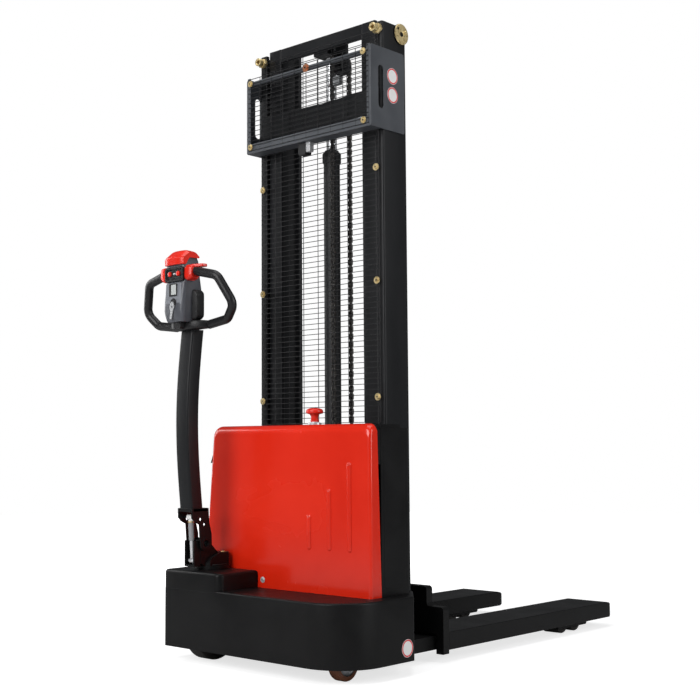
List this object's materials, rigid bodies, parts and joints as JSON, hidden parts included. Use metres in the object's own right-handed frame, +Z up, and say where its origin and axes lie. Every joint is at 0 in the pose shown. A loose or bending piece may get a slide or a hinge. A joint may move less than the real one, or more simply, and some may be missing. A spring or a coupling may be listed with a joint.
{
  "type": "pallet stacker",
  "caption": "Walk-behind pallet stacker: two-stage mast, coupled fork carriage over straddle legs, offset tiller-steered drive wheel, red rear hood.",
  "frame": {"origin": "on the floor, at the bottom centre of the whole machine at rest", "axes": "+X to the right, +Y towards the fork tips, +Z up"},
  "size_m": [0.9104, 1.719, 2.092],
  "materials": {
    "black_paint": "satin black powder coat",
    "mast_paint": "satin black paint",
    "frame_paint": "satin dark grey powder coat",
    "mesh_wire": "black coated wire",
    "red_paint": "glossy red paint",
    "red_plastic": "red moulded plastic",
    "bright_steel": "bright plated steel",
    "dark_plastic": "black moulded plastic",
    "grip_rubber": "smooth black rubber",
    "cast_housing": "painted casting",
    "yellow_zinc": "yellow zinc plate",
    "plain_steel": "zinc plated steel",
    "chain_steel": "oiled steel",
    "dark_tread": "dark polyurethane",
    "amber_tread": "amber polyurethane",
    "grey_plastic": "grey moulded plastic"
  },
  "bodies": {
    "chassis": {"base_frame": "black_paint", "drive_block": "black_paint", "straddle_legs": "black_paint", "fixed_mast": "mast_paint", "lift_cylinder": "mast_paint", "guard_frame": "frame_paint", "guard_mesh": "mesh_wire", "rear_hood": "red_paint", "hood_panels": "black_paint", "stop_button": "red_plastic", "battery_block": "dark_plastic", "pump_block": "cast_housing", "roller_caps": "yellow_zinc", "top_rollers": "plain_steel", "limit_switch": "dark_plastic", "chain_rear_run": "chain_steel"},
    "inner_mast": {"sliding_mast": "mast_paint", "mast_rollers": "plain_steel", "cylinder_rod": "bright_steel"},
    "sheave": {"chain_sheave": "plain_steel"},
    "fork_carriage": {"carriage_frame": "black_paint", "carriage_rollers": "plain_steel", "shank_plate": "black_paint", "fork_left": "black_paint", "fork_right": "black_paint", "chain_front_run": "chain_steel"},
    "steering_head": {"pivot_casting": "black_paint", "drive_unit": "cast_housing"},
    "drive_wheel": {"drive_wheel_tyre": "dark_tread", "drive_wheel_hub": "plain_steel"},
    "tiller": {"tiller_arm": "black_paint", "tiller_head": "grey_plastic", "handle_loop_left": "grip_rubber", "handle_loop_right": "grip_rubber", "head_cap": "red_plastic", "thumb_rockers": "red_plastic", "key_switch": "dark_plastic"},
    "strut_cylinder": {"strut_barrel": "bright_steel"},
    "strut_piston": {"strut_rod": "bright_steel"},
    "caster_swivel_fork": {"caster_fork": "plain_steel"},
    "stabiliser_wheel": {"caster_wheel": "amber_tread"},
    "load_wheel_lr": {"load_wheel_left_rear": "dark_tread"},
    "load_wheel_lf": {"load_wheel_left_front": "dark_tread"},
    "load_wheel_rr": {"load_wheel_right_rear": "dark_tread"},
    "load_wheel_rf": {"load_wheel_right_front": "dark_tread"}
  },
  "joints": [
    {"name": "mast_lift", "type": "slide", "parent": "chassis", "child": "inner_mast", "axis": [0, 0, 1], "range_m": [0, 1.455], "deforming": ["chain_rear_run"]},
    {"name": "carriage_lift", "type": "slide", "parent": "inner_mast", "child": "fork_carriage", "axis": [0, 0, 1], "range_m": [0, 1.455], "deforming": ["chain_front_run"]},
    {"name": "sheave_spin", "type": "hinge", "parent": "inner_mast", "child": "sheave", "pos_m": [0.0955, -0.3815, 2.002], "axis": [-1, 0, 0], "continuous": true},
    {"name": "steer", "type": "hinge", "parent": "chassis", "child": "steering_head", "pos_m": [-0.2285, -0.6765, 0.3], "axis": [0, 0, 1], "range_deg": [-70, 70]},
    {"name": "drive_spin", "type": "hinge", "parent": "steering_head", "child": "drive_wheel", "pos_m": [-0.2285, -0.6765, 0.095], "axis": [1, 0, 0], "continuous": true},
    {"name": "tiller_tilt", "type": "hinge", "parent": "steering_head", "child": "tiller", "pos_m": [-0.2285, -0.7335, 0.381], "axis": [1, 0, 0], "range_deg": [0, 68], "stiffness_Nm_per_rad": 45, "springref_deg": -34.38},
    {"name": "strut_swing", "type": "hinge", "parent": "tiller", "child": "strut_cylinder", "pos_m": [-0.2285, -0.7695, 0.467], "axis": [1, 0, 0], "range_deg": [-23.3, 0.5]},
    {"name": "strut_slide", "type": "slide", "parent": "strut_cylinder", "child": "strut_piston", "axis": [0, -0.0562, 0.9984], "range_m": [0, 0.0546]},
    {"name": "caster_swivel", "type": "hinge", "parent": "chassis", "child": "caster_swivel_fork", "pos_m": [0.3515, -0.6425, 0.12], "axis": [0, 0, 1], "continuous": true},
    {"name": "caster_spin", "type": "hinge", "parent": "caster_swivel_fork", "child": "stabiliser_wheel", "pos_m": [0.3515, -0.6745, 0.05], "axis": [1, 0, 0], "continuous": true},
    {"name": "load_spin_lr", "type": "hinge", "parent": "chassis", "child": "load_wheel_lr", "pos_m": [-0.194, 0.5585, 0.04], "axis": [1, 0, 0], "continuous": true},
    {"name": "load_spin_lf", "type": "hinge", "parent": "chassis", "child": "load_wheel_lf", "pos_m": [-0.194, 0.6465, 0.04], "axis": [1, 0, 0], "continuous": true},
    {"name": "load_spin_rr", "type": "hinge", "parent": "chassis", "child": "load_wheel_rr", "pos_m": [0.309, 0.5585, 0.04], "axis": [1, 0, 0], "continuous": true},
    {"name": "load_spin_rf", "type": "hinge", "parent": "chassis", "child": "load_wheel_rf", "pos_m": [0.309, 0.6465, 0.04], "axis": [1, 0, 0], "continuous": true}
  ],
  "couplings": [
    {"joint": "carriage_lift", "follows": "mast_lift", "ratio": 1},
    {"joint": "strut_swing", "follows": "tiller_tilt", "ratio": -0.336},
    {"joint": "strut_slide", "follows": "tiller_tilt", "m_per_rad": 0.0456}
  ]
}
